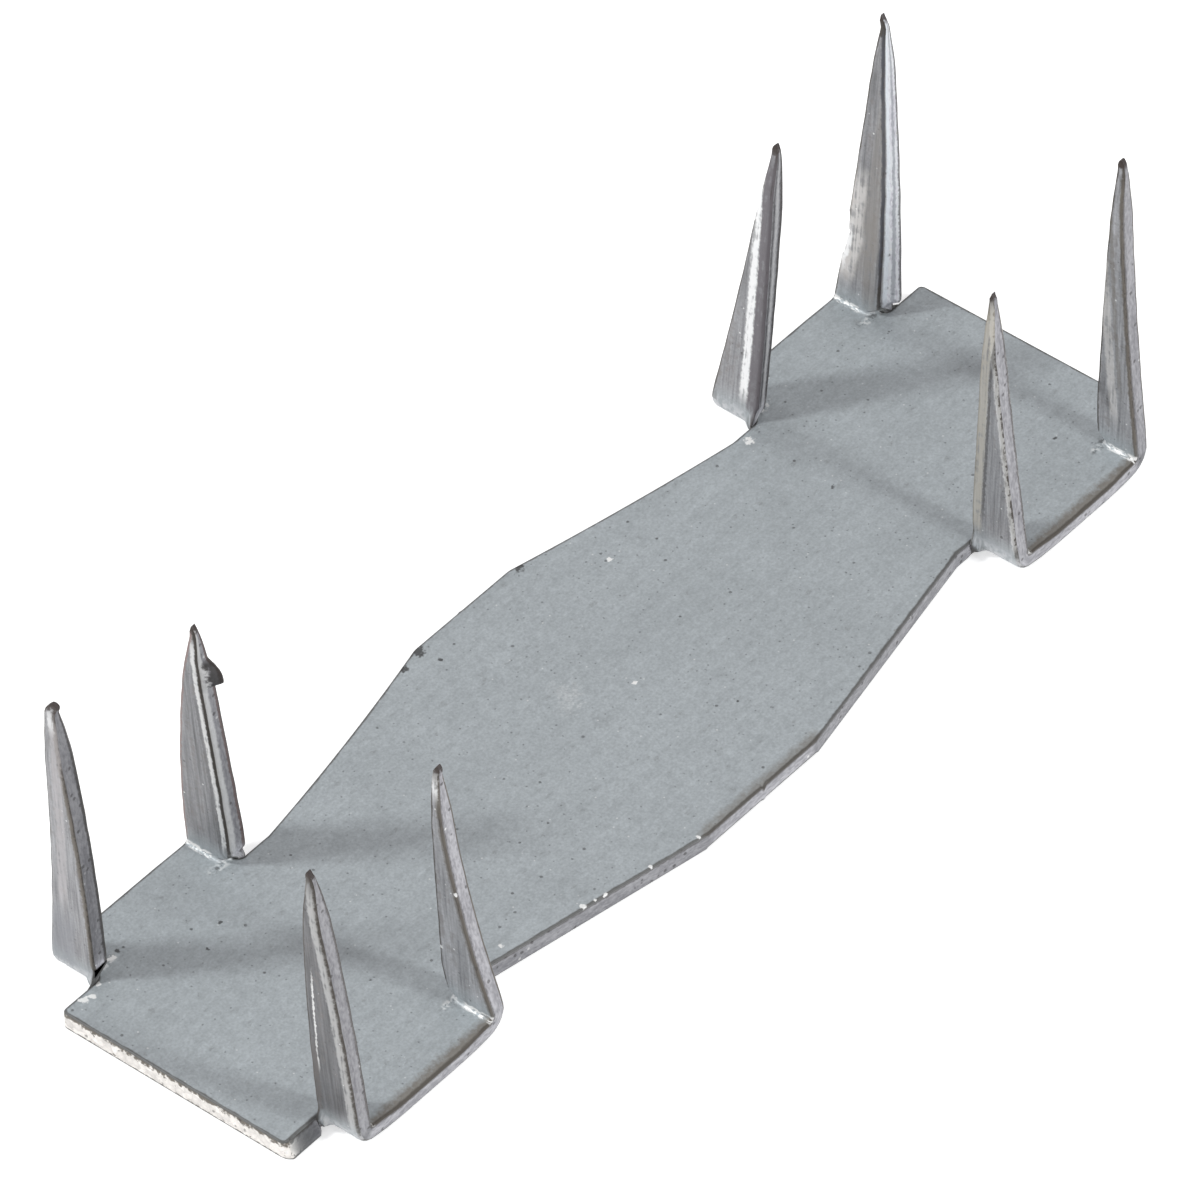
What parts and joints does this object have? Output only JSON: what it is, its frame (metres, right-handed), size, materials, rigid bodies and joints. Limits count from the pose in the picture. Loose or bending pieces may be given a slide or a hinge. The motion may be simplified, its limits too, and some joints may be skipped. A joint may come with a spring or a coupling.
{
  "type": "truss nail plate",
  "caption": "Flat strip of galvanised sheet steel with a wide middle, two narrow waists and short end tabs, and slit teeth folded up square along both sides to be pressed into timber.",
  "frame": {"origin": "middle of the flat back face, which is the bottom centre of the part as it lies on its back", "axes": "+X along the length of the strip, +Y across it, +Z out of the plate along the teeth"},
  "size_m": [0.0762, 0.0222, 0.0227],
  "materials": {
    "galvanised_sheet": "satin hot-dip galvanised sheet, with bare sheared edges"
  },
  "bodies": {
    "root": {"nail_plate": "galvanised_sheet"}
  },
  "joints": []
}
